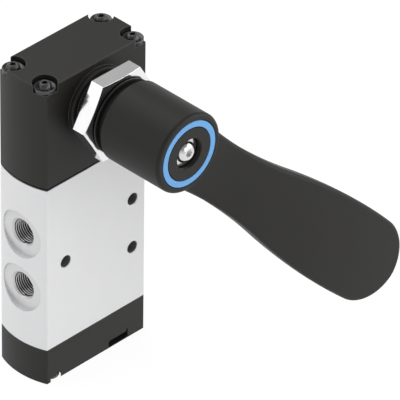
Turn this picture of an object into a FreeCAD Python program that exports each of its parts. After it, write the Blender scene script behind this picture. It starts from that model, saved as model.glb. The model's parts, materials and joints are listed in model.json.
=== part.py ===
import FreeCAD, Part
import math
import os
import re

import Sketcher

# A hand lever air valve: a 5/2 spool valve with an aluminium body, a black moulded
# head that screws into a panel, and a lever that turns an eccentric pin.
# Frame: +Z up, -Y towards the operator, +X to the operator's right, millimetres.
# The origin is on the back mounting face, at mid width and at mid height of the body.

SIZES = {
    # Plan outline that body, head and cap share
    "body_width": 46.0,
    "body_depth": 22.3,
    "side_bulge": 2.3,
    "corner_round": 0.5,
    "broken_edge": 0.3,
    "seam_edge": 0.5,
    "deburred_edge": 0.15,
    # Body beyond the last seal at each end, head above the lever axis, and cap
    "body_end": 4.5,
    "head_above_axis": 15.4,
    "cap_height": 14.3,
    # Threaded ports, G1/8
    "port_pitch": 22.0,
    "port_radius": 4.6,
    "port_depth": 8.8,
    "port_chamfer": 0.7,
    "passage_radius": 2.6,
    "spot_radius": 9.0,
    "spot_depth": 1.8,
    # Three mounting holes through the body, front to back
    "mount_radius": 2.3,
    "mount_left": 14.2,
    "mount_right": 17.3,
    "mount_spacing": 20.0,
    # Screws that hold head and cap
    "screw_radius": 2.0,
    "screw_inset_x": 2.6,
    "cap_screw_inset_x": 4.0,
    "screw_inset_y": 3.65,
    "screw_engagement": 8.2,
    "screw_clearance": 0.2,
    "flange_radius": 3.75,
    "flange_thickness": 1.3,
    "flange_rim": 0.35,
    "flange_dish": 0.45,
    "dome_radius": 2.5,
    "dome_height": 1.5,
    "recess_radius": 1.25,
    "recess_waist": 0.9,
    "recess_depth": 1.1,
    "pocket_radius": 4.35,
    "head_pocket_depth": 3.0,
    "cap_pocket_depth": 1.9,
    "cap_flange_thickness": 0.8,
    "cap_dome_height": 0.9,
    "cap_recess_depth": 0.8,
    # Spool bore and the stack of seals in it
    "spool_radius": 4.0,
    "bore_radius": 6.5,
    "press_gap": 0.03,
    "running_gap": 0.05,
    "moving_gap": 0.3,
    "seal_thickness": 2.0,
    "seal_lip": 0.5,
    "spacer_wall": 1.5,
    "spacer_window": 2.2,
    "groove_depth": 1.5,
    "land_overlap": 0.8,
    "guide_flange_radius": 8.5,
    "guide_flange_thickness": 1.5,
    "lower_guide_length": 2.5,
    # Lever axis, eccentric and yoke
    "axis_above_body": 26.0,
    "crank_pin_radius": 2.0,
    "crank_pin_cover": 0.8,
    "crank_pin_press": 4.0,
    "yoke_slack": 0.2,
    "yoke_half_slot": 6.2,
    "yoke_wall": 2.8,
    "yoke_thickness": 4.9,
    "yoke_foot_half_width": 6.0,
    "yoke_foot_half_depth": 4.5,
    "yoke_foot_height": 5.7,
    "yoke_foot_above_body": 11.3,
    "button_radius": 3.4,
    "button_neck_radius": 2.0,
    "button_thickness": 2.2,
    "button_neck_length": 2.2,
    # Head cavity, collar and threaded neck
    "front_wall": 3.5,
    "rear_wall": 3.5,
    "cavity_half_width": 11.5,
    "cavity_headroom": 1.75,
    "collar_radius": 13.0,
    "collar_height": 2.0,
    "collar_round": 0.9,
    "neck_radius": 11.0,
    "neck_length": 12.5,
    "neck_chamfer": 0.8,
    # Bushes and seal in the neck
    "shaft_radius": 6.0,
    "bush_wall": 1.5,
    "front_bush_length": 5.0,
    "rear_bush_length": 6.5,
    "bush_flange_radius": 9.0,
    "bush_flange_thickness": 0.8,
    # Lever shaft
    "shoulder_radius": 8.0,
    "shoulder_thickness": 1.3,
    "stem_radius": 4.5,
    "stem_half_flats": 3.5,
    "ring_thickness": 0.9,
    "ring_radius": 7.9,
    "ring_groove_depth": 0.7,
    "ring_mouth_half": 2.4,
    # Panel nut
    "nut_across_flats": 30.0,
    "nut_thickness": 5.9,
    "nut_stand_off": 6.4,
    "nut_chamfer": 0.65,
    "nut_corner_trim": 3.0,
    # Lever hub
    "hub_radius": 14.65,
    "hub_length": 30.0,
    "hub_gap": 0.9,
    "hub_front_round": 1.4,
    "rim_inset": 2.5,
    "rim_length": 1.8,
    "hub_rear_chamfer": 1.6,
    "hub_recess_gap": 1.5,
    "screw_well_radius": 5.7,
    "screw_well_depth": 2.8,
    "hub_web": 2.0,
    "marking_inset": 2.55,
    "marking_width": 2.15,
    "marking_gap": 0.3,
    "marking_depth": 1.2,
    # Lever blade: distances along the lever from the axis
    "rest_angle": 45.0,
    "lever_length": 119.6,
    "blade_root": 4.0,
    "waist_at": 24.5,
    "waist_half_width": 10.6,
    "paddle_to_tip": 30.0,
    "paddle_half_width": 15.7,
    "paddle_shoulder": 14.9,
    "root_flare_radius": 160.0,
    "waist_radius": 157.0,
    "tip_radius": 16.3,
    "nose_radius": 9.6,
    "bend_beyond_hub": 3.3,
    "blade_rise": 15.1,
    "root_thickness": 11.0,
    "waist_thickness": 8.5,
    "paddle_thickness": 6.6,
    "tip_thickness": 5.6,
    "blade_crown": 1.3,
    "blade_half_stock": 18.0,
    "blade_edge_round": 1.3,
    # Screw and washer that hold the lever
    "lever_screw_head_radius": 3.85,
    "lever_screw_head_height": 1.9,
    "lever_screw_length": 11.0,
    "hex_half_flats": 1.25,
    "hex_depth": 1.4,
    "washer_gap": 0.6,
    "washer_thickness": 0.8,
    # Return spring in the bottom cap
    "cap_floor": 2.0,
    "spring_mean_radius": 4.5,
    "spring_wire_radius": 0.45,
    "spring_turns": 5.0,
    "seat_thickness": 1.2,
    "seat_boss_radius": 3.2,
    "seat_boss_height": 2.0,
    "spigot_wall": 0.54,
    # Notch in the front of the bottom cap
    "notch_left": 6.1,
    "notch_right": 14.6,
    "notch_floor": 0.5,
    "notch_height": 3.2,
    "notch_round": 1.0,
    "notch_depth": 3.0,
    "slit_width": 0.8,
    "slit_rise": 0.9,
}

# Formulas that several pieces share, written with the names above
SPOOL_AXIS = "(-body_depth/2)"
STACK_END = "(5*port_pitch/4 + seal_thickness/2)"
BODY_TOP = f"({STACK_END} + body_end)"
HEAD_HEIGHT = "(axis_above_body + head_above_axis)"
AXIS_HEIGHT = f"({BODY_TOP} + axis_above_body)"
CRANK_RADIUS = "(shaft_radius - crank_pin_radius - crank_pin_cover)"
STROKE = f"(2*{CRANK_RADIUS}*cos(rest_angle))"
SCREW_X = "(body_width/2 - screw_inset_x)"
CAP_SCREW_X = "(body_width/2 - cap_screw_inset_x)"
SCREW_Y = "(body_depth/2 - screw_inset_y)"
FRONT_FACE = "(-body_depth)"
NECK_END = "(-body_depth - neck_length)"
CAVITY_FRONT = "(-body_depth + front_wall)"
SHAFT_END = "(-body_depth/2 - yoke_thickness/2 - moving_gap)"
BUSH_BORE = "(shaft_radius + bush_wall)"
HUB_REAR = "(-body_depth - neck_length - hub_gap)"
HUB_FRONT = "(-body_depth - neck_length - hub_gap - hub_length)"
SHOULDER_REAR = "(-body_depth - neck_length - bush_flange_thickness - 4*running_gap)"
SHOULDER_FRONT = f"({SHOULDER_REAR} - shoulder_thickness)"
WELL_FLOOR = f"({HUB_FRONT} + screw_well_depth)"
STEM_END = f"({WELL_FLOOR} + hub_web + moving_gap)"
SPOOL_FOOT = f"(-{STACK_END} - lower_guide_length - moving_gap)"
CHAMBER_RADIUS = "(bore_radius - 2*press_gap - spigot_wall)"
CHAMBER_FLOOR = f"(-{BODY_TOP} - cap_height + cap_floor)"
YOKE_FOOT = f"({BODY_TOP} + yoke_foot_above_body)"
HALF_SLOT = "(crank_pin_radius + yoke_slack)"
PIN_REST_HEIGHT = f"({AXIS_HEIGHT} + {STROKE}/2)"
YOKE_TOP = f"({PIN_REST_HEIGHT} + {HALF_SLOT} + yoke_wall)"
RIM_RADIUS = "(hub_radius - rim_inset)"
BEND_START = "(hub_radius + bend_beyond_hub)"
MARKING_OUTER = "(hub_radius - marking_inset)"
MARKING_INNER = f"({MARKING_OUTER} - marking_width)"

# A full half or quarter circle is held a hair wide, so that its arc stays on the right side
ROUND_END = 1.0001

doc = FreeCAD.newDocument("hand_lever_valve")
sheet = doc.addObject("Spreadsheet::Sheet", "Sizes")
for row, (name, value) in enumerate(SIZES.items(), start=1):
    sheet.set(f"A{row}", name)
    sheet.set(f"B{row}", str(value))
    sheet.setAlias(f"B{row}", name)
trial = doc.addObject("Spreadsheet::Sheet", "Trial")
doc.recompute()


def formula(text):
    """The same formula, with each name read from the sheet of sizes."""
    return re.sub(r"[a-z_]{3,}", lambda found: "Sizes." + found.group() if found.group() in SIZES
                  else found.group(), str(text))


def number(text):
    """The present value of a formula."""
    trial.set("A1", "=" + formula(text))
    trial.recompute()
    return float(trial.get("A1"))


def bind(item, prop, text):
    """Ties a property to a formula."""
    item.setExpression(prop, formula(text))


def new_body(label, x="0", y="0", z="0"):
    body = doc.addObject("PartDesign::Body", label)
    body.Label = label
    body.Placement = FreeCAD.Placement(FreeCAD.Vector(number(x), number(y), number(z)), FreeCAD.Rotation())
    for letter, text in (("x", x), ("y", y), ("z", z)):
        if text != "0":
            bind(body, f"Placement.Base.{letter}", text)
    return body


def new_sketch(body, plane, offset="0"):
    """A sketch on one of the body's own planes, moved along that plane's normal."""
    sketch = body.newObject("Sketcher::SketchObject", "Sketch")
    support = [item for item in body.Origin.OriginFeatures if item.Role == plane][0]
    sketch.AttachmentSupport = (support, [""])
    sketch.MapMode = "FlatFace"
    if offset != "0":
        sketch.AttachmentOffset = FreeCAD.Placement(FreeCAD.Vector(0, 0, number(offset)), FreeCAD.Rotation())
        bind(sketch, "AttachmentOffset.Base.z", offset)
    return sketch


def fix_coordinate(sketch, kind, axis, edge, end, text):
    """Holds one coordinate of a sketch point: on the axis where it is nought."""
    if text == "0":
        sketch.addConstraint(Sketcher.Constraint("PointOnObject", edge, end, axis))
        return
    held = sketch.addConstraint(Sketcher.Constraint(kind, edge, end, number(text)))
    bind(sketch, f"Constraints[{held}]", text)


def fix_point(sketch, edge, end, x, y):
    fix_coordinate(sketch, "DistanceX", -2, edge, end, x)
    fix_coordinate(sketch, "DistanceY", -1, edge, end, y)


def arc_between(start, finish, radius):
    """The minor arc from start to finish. A positive radius bends it to the right of that way."""
    chord = finish - start
    middle = (start + finish) * 0.5
    away = FreeCAD.Vector(-chord.y, chord.x, 0).normalize()
    reach = math.sqrt(max(radius * radius - chord.Length ** 2 / 4, 0.0))
    centre = middle + away * math.copysign(reach, radius)
    first, last = (start, finish) if radius > 0 else (finish, start)
    angles = [math.atan2(point.y - centre.y, point.x - centre.x) for point in (first, last)]
    circle = Part.Circle(centre, FreeCAD.Vector(0, 0, 1), abs(radius))
    return Part.ArcOfCircle(circle, *angles)


def add_outline(sketch, corners):
    """A closed outline. A corner is (x, y), or (x, y, radius) where an arc leaves it."""
    base = sketch.GeometryCount
    points = [FreeCAD.Vector(number(corner[0]), number(corner[1]), 0) for corner in corners]
    count = len(corners)
    ends = []
    for step, corner in enumerate(corners):
        start, finish = points[step], points[(step + 1) % count]
        if len(corner) == 2:
            sketch.addGeometry(Part.LineSegment(start, finish), False)
            ends.append((1, 2))
            continue
        radius = number(corner[2])
        sketch.addGeometry(arc_between(start, finish, radius), False)
        ends.append((1, 2) if radius > 0 else (2, 1))
    for step, corner in enumerate(corners):
        before = (step - 1) % count
        here, last = ends[step][0], ends[before][1]
        sketch.addConstraint(Sketcher.Constraint("Coincident", base + before, last, base + step, here))
        fix_point(sketch, base + step, here, corner[0], corner[1])
        if len(corner) == 3:
            size = abs(number(corner[2]))
            held = sketch.addConstraint(Sketcher.Constraint("Radius", base + step, size))
            bind(sketch, f"Constraints[{held}]", corner[2].lstrip("-"))


def add_circle(sketch, x, y, radius):
    circle = Part.Circle(FreeCAD.Vector(number(x), number(y), 0), FreeCAD.Vector(0, 0, 1), number(radius))
    edge = sketch.addGeometry(circle, False)
    fix_point(sketch, edge, 3, x, y)
    held = sketch.addConstraint(Sketcher.Constraint("Radius", edge, number(radius)))
    bind(sketch, f"Constraints[{held}]", radius)


def rectangle(left, low, right, high):
    return [(left, low), (right, low), (right, high), (left, high)]


def pad(body, sketch, length, reverse=False, middle=False):
    feature = body.newObject("PartDesign::Pad", "Pad")
    feature.Profile = sketch
    feature.Length = number(length)
    bind(feature, "Length", length)
    feature.Reversed = reverse
    feature.Midplane = middle
    doc.recompute()
    return feature


def revolve(body, sketch):
    feature = body.newObject("PartDesign::Revolution", "Revolution")
    feature.Profile = sketch
    feature.ReferenceAxis = (sketch, ["V_Axis"])
    feature.Angle = 360
    doc.recompute()
    return feature


def cut(body, kind, sketch, length=None, reverse=False):
    """A pocket or groove that has to take metal away."""
    before = body.Shape.Volume
    feature = body.newObject(f"PartDesign::{kind}", kind)
    feature.Profile = sketch
    if kind == "Groove":
        feature.ReferenceAxis = (sketch, ["V_Axis"])
        feature.Angle = 360
    elif length is None:
        feature.Type = "ThroughAll"
        feature.Midplane = True
    else:
        feature.Length = number(length)
        bind(feature, "Length", length)
    feature.Reversed = reverse
    doc.recompute()
    if not body.Shape.Volume < before - 1e-6:
        raise RuntimeError(f"{body.Label}: {kind} took nothing away")
    return feature


def edges_where(shape, test):
    return [f"Edge{place}" for place, edge in enumerate(shape.Edges, start=1) if test(edge)]


def soften(body, kind, size, test):
    """A Fillet or Chamfer on the edges that pass the test."""
    base = body.Tip
    names = edges_where(base.Shape, test)
    if not names:
        raise RuntimeError(f"{body.Label}: no edge for the {kind}")
    feature = body.newObject(f"PartDesign::{kind}", kind)
    feature.Base = (base, names)
    prop = "Radius" if kind == "Fillet" else "Size"
    setattr(feature, prop, number(size))
    bind(feature, prop, size)
    doc.recompute()
    return feature


def near(value, target):
    return abs(value - target) < 1e-4


def lies_at(edge, axis, place):
    """Whether a whole edge lies in the plane where that coordinate has that value."""
    box = edge.BoundBox
    low, high = getattr(box, axis + "Min"), getattr(box, axis + "Max")
    return abs(low - place) < 2e-3 and abs(high - place) < 2e-3


def turned(label, plane, corners, **place):
    """A piece turned about an axis: its corners are (radius, along the axis)."""
    body = new_body(label, **place)
    sketch = new_sketch(body, plane)
    add_outline(sketch, corners)
    revolve(body, sketch)
    return body


def turned_upright(label, corners):
    return turned(label, "XZ_Plane", corners, y=SPOOL_AXIS)


def turned_on_lever_axis(label, corners):
    return turned(label, "XY_Plane", corners, z=AXIS_HEIGHT)


def group(label, template, places):
    """Equal pieces in one node, each a solid of its own."""
    node = doc.addObject("Part::Feature", label)
    node.Label = label
    node.Shape = Part.makeCompound([template.Shape.translated(FreeCAD.Vector(*place)) for place in places])
    return node


def housing_block(label, low, height):
    """A block with the shared plan: flat front and back, and rounded sides."""
    body = new_body(label)
    sketch = new_sketch(body, "XY_Plane", low)
    side = "(side_bulge^2 + body_depth^2/4)/(2*side_bulge)"
    add_outline(sketch, [
        ("-body_width/2", FRONT_FACE),
        ("body_width/2", FRONT_FACE, side),
        ("body_width/2", "0"),
        ("-body_width/2", "0", side),
    ])
    pad(body, sketch, height)
    soften(body, "Fillet", "corner_round", lambda edge: edge.Curve.TypeId == "Part::GeomLine"
           and near(edge.Vertexes[0].X, edge.Vertexes[1].X) and near(edge.Vertexes[0].Y, edge.Vertexes[1].Y))
    return body


def drill(body, plane, offset, circles, length, reverse=False):
    """Round holes of one depth, given as (x, y, radius) on the plane."""
    sketch = new_sketch(body, plane, offset)
    for circle in circles:
        add_circle(sketch, *circle)
    cut(body, "Pocket", sketch, length, reverse)


def cap_screw_places():
    """Axes of the two cap screws: front left and back right."""
    return [(f"{sign}{CAP_SCREW_X}", f"{SPOOL_AXIS} + {sign}{SCREW_Y}") for sign in ("-", "")]


def head_screw_places():
    """Axes of the four head screws."""
    return [(f"{x}{SCREW_X}", f"{SPOOL_AXIS} + {y}{SCREW_Y}") for x in ("-", "") for y in ("-", "")]


def valve_body():
    body = housing_block("valve_body", f"-{BODY_TOP}", f"2*{BODY_TOP}")
    top, low = number(BODY_TOP), -number(BODY_TOP)
    soften(body, "Chamfer", "deburred_edge", lambda edge: lies_at(edge, "Z", top) or lies_at(edge, "Z", low))
    drill(body, "XY_Plane", "0", [("0", SPOOL_AXIS, "bore_radius")], None)
    drill(body, "XY_Plane", BODY_TOP, [("0", SPOOL_AXIS, "guide_flange_radius + 2*press_gap")],
          "guide_flange_thickness")
    ports(body, "body_width/2 + side_bulge", ["-port_pitch", "0", "port_pitch"], False)
    ports(body, "-body_width/2 - side_bulge", ["-port_pitch/2", "port_pitch/2"], True)
    holes = [("-mount_left", "0", "mount_radius")]
    holes += [("mount_right", f"{side}mount_spacing/2", "mount_radius") for side in ("-", "")]
    drill(body, "XZ_Plane", "0", holes, None)
    sink = [(x, z, "mount_radius + deburred_edge") for x, z, radius in holes]
    drill(body, "XZ_Plane", "body_depth", sink, "deburred_edge")
    corners = [place + ("screw_radius + press_gap",) for place in head_screw_places()]
    drill(body, "XY_Plane", BODY_TOP, corners, "screw_engagement + moving_gap")
    diagonal = [place + ("screw_radius + press_gap",) for place in cap_screw_places()]
    drill(body, "XY_Plane", f"-{BODY_TOP}", diagonal, "screw_engagement + moving_gap", True)
    return body


def ports(body, side, heights, reverse):
    """Spot face, tapped bore with a chamfered mouth, and passage of each port on one side."""
    for radius, depth in (("spot_radius", "spot_depth"), ("port_radius", "port_depth + spot_depth"),
                          ("passage_radius", "body_width/2 + side_bulge")):
        drill(body, "YZ_Plane", side, [(SPOOL_AXIS, height, radius) for height in heights], depth, reverse)
    seat = abs(number(side)) - number("spot_depth")
    width = number("port_radius")
    sign = -1 if reverse else 1
    soften(body, "Chamfer", "port_chamfer", lambda edge: lies_at(edge, "X", sign * seat)
           and edge.Curve.TypeId == "Part::GeomCircle" and near(edge.Curve.Radius, width))


def head_housing():
    """Moulded head with its cavity, collar and threaded neck in one."""
    body = housing_block("head_housing", BODY_TOP, HEAD_HEIGHT)
    low, top = number(BODY_TOP), number(f"{BODY_TOP} + {HEAD_HEIGHT}")
    soften(body, "Chamfer", "seam_edge", lambda edge: lies_at(edge, "Z", low))
    soften(body, "Chamfer", "broken_edge", lambda edge: lies_at(edge, "Z", top))
    collar = new_sketch(body, "XZ_Plane", "body_depth")
    add_circle(collar, "0", AXIS_HEIGHT, "collar_radius")
    pad(body, collar, "collar_height")
    front = number("-body_depth - collar_height")
    soften(body, "Fillet", "collar_round", lambda edge: lies_at(edge, "Y", front))
    neck = new_sketch(body, "XZ_Plane", "body_depth + collar_height")
    add_circle(neck, "0", AXIS_HEIGHT, "neck_radius")
    pad(body, neck, "neck_length - collar_height")
    end = number(NECK_END)
    soften(body, "Chamfer", "neck_chamfer", lambda edge: lies_at(edge, "Y", end))
    cavity = new_sketch(body, "XY_Plane", BODY_TOP)
    add_outline(cavity, rectangle("-cavity_half_width", CAVITY_FRONT, "cavity_half_width", "-rear_wall"))
    cut(body, "Pocket", cavity, f"{YOKE_TOP} + cavity_headroom - {BODY_TOP}", True)
    corners = head_screw_places()
    roof = f"{BODY_TOP} + {HEAD_HEIGHT}"
    open_corners = new_sketch(body, "XY_Plane", roof)
    for x in ("-", ""):
        for y in ("-", ""):
            add_outline(open_corners, rectangle(
                f"{x}{SCREW_X}", f"{SPOOL_AXIS} + {y}{SCREW_Y}",
                f"{x}(body_width/2 + 2*side_bulge)", f"{SPOOL_AXIS} + {y}(body_depth/2 + 1)"))
    cut(body, "Pocket", open_corners, "head_pocket_depth")
    drill(body, "XY_Plane", roof, [corner + ("pocket_radius",) for corner in corners], "head_pocket_depth")
    drill(body, "XY_Plane", roof, [corner + ("screw_radius + screw_clearance",) for corner in corners],
          HEAD_HEIGHT)
    drill(body, "XZ_Plane", "body_depth + neck_length", [("0", AXIS_HEIGHT, BUSH_BORE)],
          "neck_length + front_wall")
    return body


def bottom_cap():
    """Cap with the spring chamber, the spigot that holds the lower guide and a notch in front."""
    body = housing_block("bottom_cap", f"-{BODY_TOP} - cap_height", "cap_height")
    low = number(f"-{BODY_TOP} - cap_height")
    soften(body, "Chamfer", "broken_edge", lambda edge: lies_at(edge, "Z", low))
    spigot = new_sketch(body, "XY_Plane", f"-{BODY_TOP}")
    add_circle(spigot, "0", SPOOL_AXIS, "bore_radius - 2*press_gap")
    pad(body, spigot, "body_end - lower_guide_length")
    drill(body, "XY_Plane", CHAMBER_FLOOR, [("0", SPOOL_AXIS, CHAMBER_RADIUS)], "cap_height + body_end", True)
    corners = cap_screw_places()
    floor = f"-{BODY_TOP} - cap_height"
    drill(body, "XY_Plane", floor, [corner + ("pocket_radius",) for corner in corners],
          "cap_pocket_depth", True)
    drill(body, "XY_Plane", floor, [corner + ("screw_radius + screw_clearance",) for corner in corners],
          "cap_height", True)
    notch = new_sketch(body, "XZ_Plane", "body_depth")
    ledge = f"{floor} + notch_floor"
    add_outline(notch, [
        ("notch_left", ledge),
        ("notch_right", ledge),
        ("notch_right", f"{floor} + notch_height"),
        ("notch_left + notch_round", f"{floor} + notch_height", f"notch_round*{ROUND_END}"),
        ("notch_left", f"{floor} + notch_height - notch_round"),
    ])
    cut(body, "Pocket", notch, "notch_depth")
    pocket_right = f"(sqrt(pocket_radius^2 - screw_inset_y^2) - {CAP_SCREW_X})"
    for left, low, right, high in (
            ("notch_right - 0.01", ledge, "notch_right + slit_width", "notch_height + slit_rise"),
            (f"{pocket_right} - 2*slit_width", f"{floor} - 1", pocket_right, "cap_pocket_depth + slit_rise")):
        slit = new_sketch(body, "XZ_Plane", "body_depth")
        add_outline(slit, rectangle(left, low, right, f"{floor} + {high}"))
        cut(body, "Pocket", slit, "notch_depth")
    return body


def flange_screw(label, length, flange, dome, recess):
    """A dome screw with a dished flange, hanging below its seat at z = 0, with a six-lobed recess."""
    body = new_body(label)
    sketch = new_sketch(body, "XZ_Plane")
    add_outline(sketch, [
        ("0", f"-({length})"),
        ("screw_radius", f"-({length})"),
        ("screw_radius", "0"),
        ("flange_radius", "0"),
        ("flange_radius", flange),
        ("flange_radius - flange_rim", flange),
        ("dome_radius", f"{flange} - flange_dish", f"dome_radius*{ROUND_END}"),
        (f"sqrt(dome_radius^2 - ({dome} + flange_dish)^2)", f"{flange} + {dome}"),
        ("0", f"{flange} + {dome}"),
    ])
    revolve(body, sketch)
    star = new_sketch(body, "XY_Plane", f"{flange} + {dome}")
    lobes = []
    for step in range(12):
        reach = "recess_radius" if step % 2 == 0 else "recess_waist"
        lobes.append((f"{reach}*cos({30 * step})", f"{reach}*sin({30 * step})"))
    add_outline(star, lobes)
    cut(body, "Pocket", star, recess)
    return body


def head_screws():
    seat = number(f"{BODY_TOP} + {HEAD_HEIGHT} - head_pocket_depth")
    screw = flange_screw("head_screw", f"{HEAD_HEIGHT} - head_pocket_depth + screw_engagement",
                         "flange_thickness", "dome_height", "recess_depth")
    return group("head_screws", screw, [(number(x), number(y), seat) for x, y in head_screw_places()])


def cap_screws():
    """The same screws turned over, on one diagonal of the cap."""
    seat = number(f"-{BODY_TOP} - cap_height + cap_pocket_depth")
    screw = flange_screw("cap_screw", "cap_height - cap_pocket_depth + screw_engagement",
                         "cap_flange_thickness", "cap_dome_height", "cap_recess_depth")
    half_turn = FreeCAD.Rotation(FreeCAD.Vector(1, 0, 0), 180)
    screw.Placement = FreeCAD.Placement(FreeCAD.Vector(0, 0, 0), half_turn)
    doc.recompute()
    return group("cap_screws", screw, [(number(x), number(y), seat) for x, y in cap_screw_places()])


def ring_corners(inner, outer, low, high):
    return [(inner, low), (outer, low), (outer, high), (inner, high)]


def upper_guide():
    seat = f"{BODY_TOP} - guide_flange_thickness"
    inner, outer = "spool_radius + running_gap", "bore_radius - press_gap"
    return turned_upright("upper_guide", [(inner, STACK_END), (outer, STACK_END), (outer, seat),
                                          ("guide_flange_radius", seat), ("guide_flange_radius", BODY_TOP),
                                          (inner, BODY_TOP)])


def lower_guide():
    return turned_upright("lower_guide", ring_corners("spool_radius + running_gap", "bore_radius - press_gap",
                                                      f"-{STACK_END} - lower_guide_length", f"-{STACK_END}"))


def spool_seals():
    """Six lip rings: their inner lips ride on the spool."""
    inner, outer = "spool_radius + running_gap", "bore_radius - press_gap"
    seal = turned("spool_seal", "XZ_Plane", [
        (f"{inner} + seal_lip", "-seal_thickness/2"),
        (outer, "-seal_thickness/2"),
        (outer, "seal_thickness/2"),
        (f"{inner} + seal_lip", "seal_thickness/2"),
        (inner, "0"),
    ])
    middle, quarter = number(SPOOL_AXIS), number("port_pitch/4")
    return group("spool_seals", seal, [(0, middle, quarter * step) for step in (-5, -3, -1, 1, 3, 5)])


def seal_spacers():
    """Five cages between the seals, with a channel and four windows for the air."""
    inner, outer = "bore_radius - press_gap - spacer_wall", "bore_radius - press_gap"
    half, channel = "port_pitch/4 - seal_thickness/2", "spacer_window + 0.3"
    waist = f"{outer} - spacer_wall/2"
    cage = turned("seal_spacer", "XZ_Plane", [
        (inner, f"-({half})"),
        (outer, f"-({half})"),
        (outer, f"-({channel})"),
        (waist, f"-({channel})"),
        (waist, channel),
        (outer, channel),
        (outer, half),
        (inner, half),
    ])
    for plane in ("XZ_Plane", "YZ_Plane"):
        drill(cage, plane, "0", [("0", "0", "spacer_window")], None)
    middle, pitch = number(SPOOL_AXIS), number("port_pitch/2")
    return group("seal_spacers", cage, [(0, middle, pitch * step) for step in (-2, -1, 0, 1, 2)])


def spool():
    """Spool in its upper place: each groove joins an outlet to the port above it."""
    neck_radius = "spool_radius - groove_depth"
    half = f"(port_pitch/4 + seal_thickness/2 + land_overlap - {STROKE}/2)"
    corners = [("0", SPOOL_FOOT), ("spool_radius", SPOOL_FOOT)]
    for outlet in ("-port_pitch/2", "port_pitch/2"):
        centre = f"({outlet} + {STROKE}/2)"
        corners += [("spool_radius", f"{centre} - {half}"),
                    (neck_radius, f"{centre} - {half} + groove_depth/2"),
                    (neck_radius, f"{centre} + {half} - groove_depth/2"),
                    ("spool_radius", f"{centre} + {half}")]
    shoulder = f"({YOKE_FOOT} - moving_gap)"
    corners += [
        ("spool_radius", shoulder),
        ("button_neck_radius", shoulder),
        ("button_neck_radius", f"{shoulder} + button_neck_length"),
        ("button_radius", f"{shoulder} + button_neck_length"),
        ("button_radius", f"{shoulder} + button_neck_length + button_thickness"),
        ("0", f"{shoulder} + button_neck_length + button_thickness"),
    ]
    return turned_upright("spool", corners)


def yoke():
    """Slotted plate on the spool's button: the eccentric pin moves it up and down."""
    body = new_body("yoke", y=SPOOL_AXIS)
    foot = new_sketch(body, "XY_Plane", YOKE_FOOT)
    add_outline(foot, rectangle("-yoke_foot_half_width", "-yoke_foot_half_depth",
                                "yoke_foot_half_width", "yoke_foot_half_depth"))
    pad(body, foot, "yoke_foot_height")
    plate = new_sketch(body, "XY_Plane", f"{YOKE_FOOT} + yoke_foot_height")
    width = "(yoke_half_slot + yoke_wall)"
    add_outline(plate, rectangle(f"-{width}", "-yoke_thickness/2", width, "yoke_thickness/2"))
    pad(body, plate, f"{YOKE_TOP} - {YOKE_FOOT} - yoke_foot_height")
    slot = new_sketch(body, "XZ_Plane")
    low, high = f"{PIN_REST_HEIGHT} - {HALF_SLOT}", f"{PIN_REST_HEIGHT} + {HALF_SLOT}"
    straight = f"(yoke_half_slot - {HALF_SLOT})"
    add_outline(slot, [(f"-{straight}", low), (straight, low, f"{HALF_SLOT}*{ROUND_END}"), (straight, high),
                       (f"-{straight}", high, f"{HALF_SLOT}*{ROUND_END}")])
    cut(body, "Pocket", slot)
    base = f"({YOKE_FOOT} - moving_gap + button_neck_length)"
    for half_width, bottom, top in (
            ("button_neck_radius + moving_gap", f"{YOKE_FOOT} - 1", f"{base} + moving_gap"),
            ("button_radius + moving_gap", f"{base} - moving_gap/2",
             f"{base} + button_thickness + moving_gap")):
        tee = new_sketch(body, "XZ_Plane", "yoke_foot_half_depth")
        add_outline(tee, rectangle(f"-({half_width})", bottom, half_width, top))
        cut(body, "Pocket", tee, f"yoke_foot_half_depth + {half_width}")
    return body


def spring_seat():
    top, rim = SPOOL_FOOT, f"{CHAMBER_RADIUS} - moving_gap"
    under = f"({SPOOL_FOOT} - seat_thickness)"
    return turned_upright("spring_seat", [("0", f"{under} - seat_boss_height"),
                                          ("seat_boss_radius", f"{under} - seat_boss_height"),
                                          ("seat_boss_radius", under), (rim, under),
                                          (rim, top), ("0", top)])


def return_spring():
    """Coil spring between the seat under the spool and the floor of the cap."""
    wire = number("spring_wire_radius")
    coil_radius = number("spring_mean_radius")
    low = number(CHAMBER_FLOOR) + wire
    height = number(f"{SPOOL_FOOT} - seat_thickness - {CHAMBER_FLOOR}") - 2 * wire
    path = Part.makeHelix(height / number("spring_turns"), height, coil_radius)
    section = Part.Wire(Part.makeCircle(wire, FreeCAD.Vector(coil_radius, 0, 0), FreeCAD.Vector(0, 1, 0)))
    coil = Part.Wire(path).makePipeShell([section], True, True)
    node = doc.addObject("Part::Feature", "return_spring")
    node.Label = "return_spring"
    node.Shape = coil
    node.Placement = FreeCAD.Placement(FreeCAD.Vector(0, number(SPOOL_AXIS), low), FreeCAD.Rotation())
    return node


def panel_nut():
    """Hexagon nut on the threaded neck: flats at top and bottom, corners trimmed at the front only."""
    body = new_body("panel_nut", z=AXIS_HEIGHT)
    sketch = new_sketch(body, "XZ_Plane", "body_depth + nut_stand_off")
    reach = "nut_across_flats/2/cos(30)"
    add_outline(sketch, [(f"{reach}*cos({60 * step})", f"{reach}*sin({60 * step})") for step in range(6)])
    pad(body, sketch, "nut_thickness")
    trim = new_sketch(body, "XY_Plane")
    front = "(-body_depth - nut_stand_off - nut_thickness)"
    add_outline(trim, [(f"{reach} - nut_corner_trim", front), (f"{reach} + nut_corner_trim", front),
                       (f"{reach} + nut_corner_trim", f"{front} + 2*nut_chamfer")])
    cut(body, "Groove", trim)
    drill(body, "XZ_Plane", "0", [("0", "0", "neck_radius + running_gap")], None)
    bore = number("neck_radius + running_gap")
    soften(body, "Chamfer", "neck_chamfer", lambda edge: edge.Curve.TypeId == "Part::GeomCircle"
           and near(edge.Curve.Radius, bore))
    return body


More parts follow.
